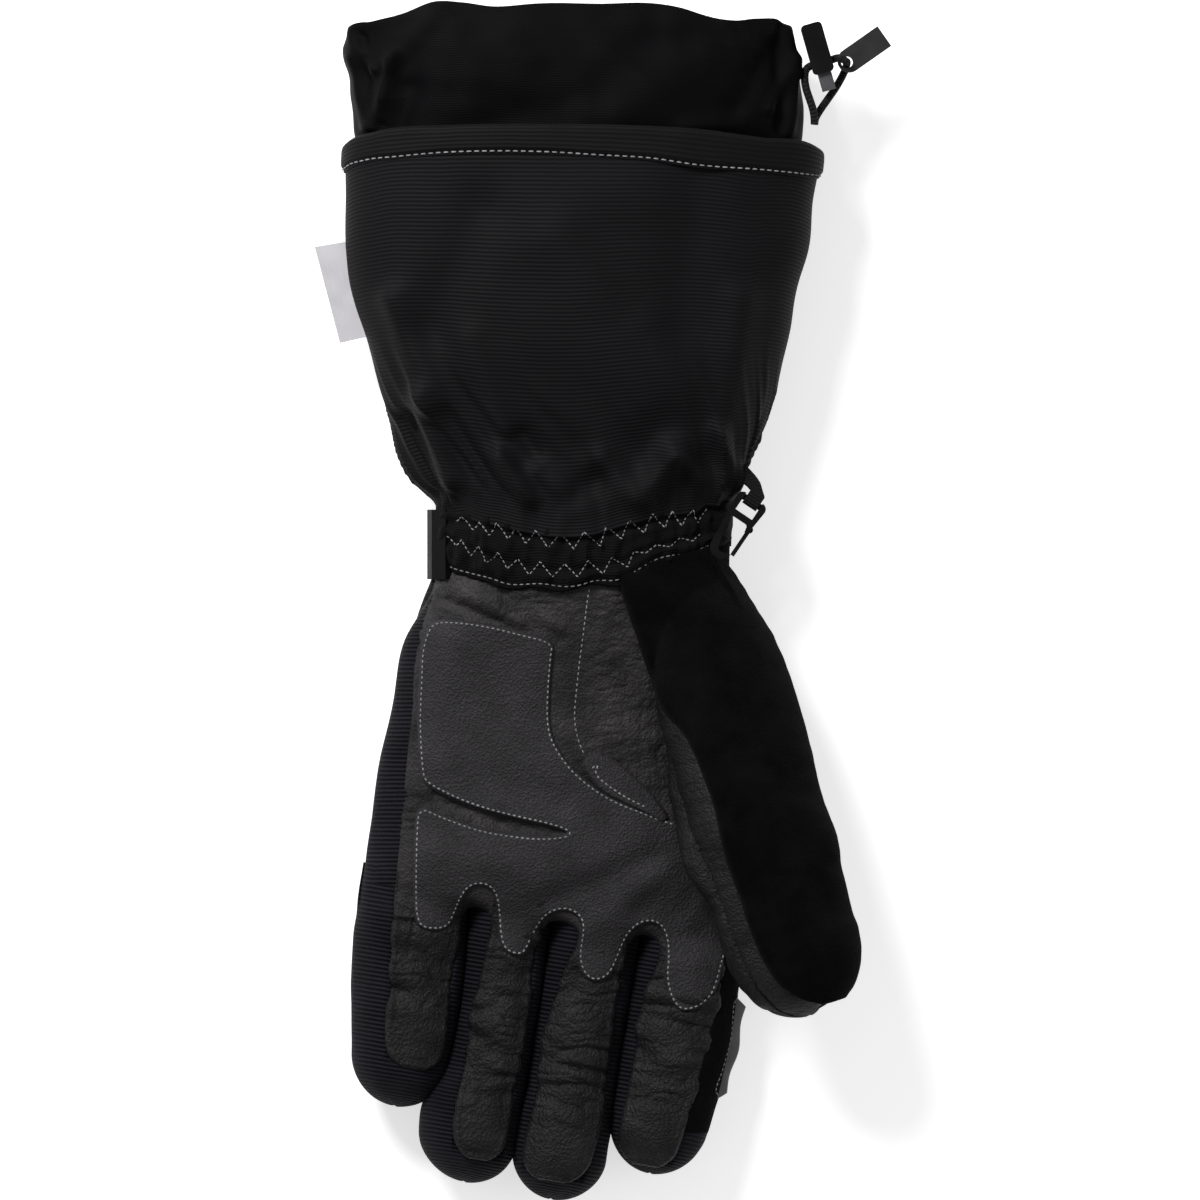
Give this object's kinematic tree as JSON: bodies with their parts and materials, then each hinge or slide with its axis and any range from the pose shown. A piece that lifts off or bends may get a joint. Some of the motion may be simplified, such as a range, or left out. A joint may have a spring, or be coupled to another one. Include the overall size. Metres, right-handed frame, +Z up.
{
  "type": "ski glove",
  "caption": "Left-hand insulated ski glove with a long gauntlet, snow cuff, elastic wrist, leather palm, separate fingers that bend, a cord lock and a snap hook.",
  "frame": {"origin": "centre of the glove's footprint, on the surface that its back lies on", "axes": "+Z up out of the palm, +Y towards the gauntlet's opening, -Y towards the fingertips, +X towards the thumb"},
  "size_m": [0.192, 0.3995, 0.0598],
  "materials": {
    "goat_leather": "fine-grained soft black leather, slightly worn grey",
    "patch_leather": "pebbled dark grey reinforcement leather",
    "finger_leather": "thin black leather with cross creases",
    "suede": "very dark napped synthetic suede",
    "softshell": "blue-black ribbed stretch softshell",
    "insulation": "white polyester wadding",
    "fleece": "charcoal brushed fleece",
    "guard_rubber": "mid grey moulded rubber",
    "elastic_band": "gathered black elastic with zigzag stitching",
    "webbing": "black woven webbing",
    "moulded_plastic": "satin black moulded plastic",
    "gauntlet_nylon": "black nylon with a fine cross rib",
    "binding": "black folded edge binding",
    "cuff_nylon": "thin crumpled black nylon with a soft sheen",
    "label_satin": "white satin ribbon, blank",
    "cord": "black braided elastic cord",
    "grey_plastic": "grey moulded plastic",
    "spring_steel": "small steel wire spring",
    "pull_rubber": "dark soft rubber"
  },
  "bodies": {
    "hand": {"palm_leather": "goat_leather", "palm_patch": "patch_leather", "thumb_crotch_patch": "patch_leather", "back_softshell": "softshell", "outer_side_gusset": "softshell", "index_side_gusset": "suede", "hand_insulation": "insulation", "hand_lining": "fleece", "finger_base_leather": "goat_leather", "finger_base_fourchettes": "softshell", "finger_base_lining": "fleece", "little_bend": "softshell", "ring_bend": "softshell", "middle_bend": "softshell", "index_bend": "softshell", "thumb_base_suede": "suede", "thumb_base_lining": "fleece", "thumb_bend": "suede", "wrist_elastic_band": "elastic_band", "wrist_strap": "webbing", "gauntlet_shell": "gauntlet_nylon", "gauntlet_lining": "cuff_nylon", "gauntlet_hem": "binding", "snow_cuff": "cuff_nylon", "snow_cuff_hem": "cuff_nylon", "label": "label_satin", "hook_webbing": "webbing", "drawcord": "cord", "cord_lock_body": "moulded_plastic", "cord_lock_spring": "spring_steel"},
    "strap_tab": {"strap_tab": "moulded_plastic"},
    "hook": {"hook_body": "moulded_plastic"},
    "hook_gate": {"hook_gate": "moulded_plastic"},
    "lock_button": {"cord_lock_button": "grey_plastic"},
    "pull_tab": {"cord_pull": "pull_rubber"},
    "thumb": {"thumb_suede": "suede", "thumb_leather": "goat_leather", "thumb_insulation": "insulation", "thumb_lining": "fleece"},
    "little_finger": {"little_leather": "finger_leather", "little_softshell": "softshell", "little_insulation": "insulation", "little_lining": "fleece"},
    "ring_finger": {"ring_leather": "finger_leather", "ring_softshell": "softshell", "ring_insulation": "insulation", "ring_lining": "fleece"},
    "middle_finger": {"middle_leather": "finger_leather", "middle_softshell": "softshell", "middle_insulation": "insulation", "middle_lining": "fleece"},
    "index_finger": {"index_leather": "finger_leather", "index_softshell": "softshell", "index_insulation": "insulation", "index_lining": "fleece", "index_side_panel": "suede", "index_rubber_guard": "guard_rubber"}
  },
  "joints": [
    {"name": "little_bend", "type": "hinge", "parent": "hand", "child": "little_finger", "pos_m": [-0.06426, -0.11927, 0.0195], "axis": [-0.9863, 0.165, 0], "range_deg": [0, 60], "deforming": ["little_bend"]},
    {"name": "ring_bend", "type": "hinge", "parent": "hand", "child": "ring_finger", "pos_m": [-0.03438, -0.13136, 0.0195], "axis": [-0.9863, 0.165, 0], "range_deg": [0, 60], "deforming": ["ring_bend"]},
    {"name": "middle_bend", "type": "hinge", "parent": "hand", "child": "middle_finger", "pos_m": [-0.00623, -0.13912, 0.0195], "axis": [-0.9863, 0.165, 0], "range_deg": [0, 60], "deforming": ["middle_bend"]},
    {"name": "index_bend", "type": "hinge", "parent": "hand", "child": "index_finger", "pos_m": [0.02722, -0.1366, 0.0195], "axis": [-0.9863, 0.165, 0], "range_deg": [0, 60], "deforming": ["index_bend"]},
    {"name": "thumb_lift", "type": "hinge", "parent": "hand", "child": "thumb", "pos_m": [0.04894, -0.06249, 0.0439], "axis": [-0.9636, -0.2672, 0], "range_deg": [0, 45], "deforming": ["thumb_bend"]},
    {"name": "hook_swing", "type": "hinge", "parent": "hand", "child": "hook", "pos_m": [0.0506, 0.0326, 0.038], "axis": [-0.829, 0.5592, 0], "range_deg": [0, 100]},
    {"name": "hook_gate_open", "type": "hinge", "parent": "hook", "child": "hook_gate", "pos_m": [0.04966, 0.02334, 0.038], "axis": [0, 0, -1], "range_deg": [0, 18], "stiffness_Nm_per_rad": 0.004, "springref_deg": -20.05},
    {"name": "lock_press", "type": "slide", "parent": "hand", "child": "lock_button", "axis": [-0.2756, 0.9613, 0], "range_m": [0, 0.003], "stiffness_N_per_m": 500, "springref_m": -0.002, "deforming": ["cord_lock_spring"]},
    {"name": "pull_swing", "type": "hinge", "parent": "hand", "child": "pull_tab", "pos_m": [0.0822, 0.179, 0.03016], "axis": [0, 0, 1], "range_deg": [-30, 30]},
    {"name": "strap_tab_peel", "type": "hinge", "parent": "hand", "child": "strap_tab", "pos_m": [-0.05605, 0.0185, 0.0146], "axis": [0, -1, 0], "range_deg": [0, 70]}
  ]
}
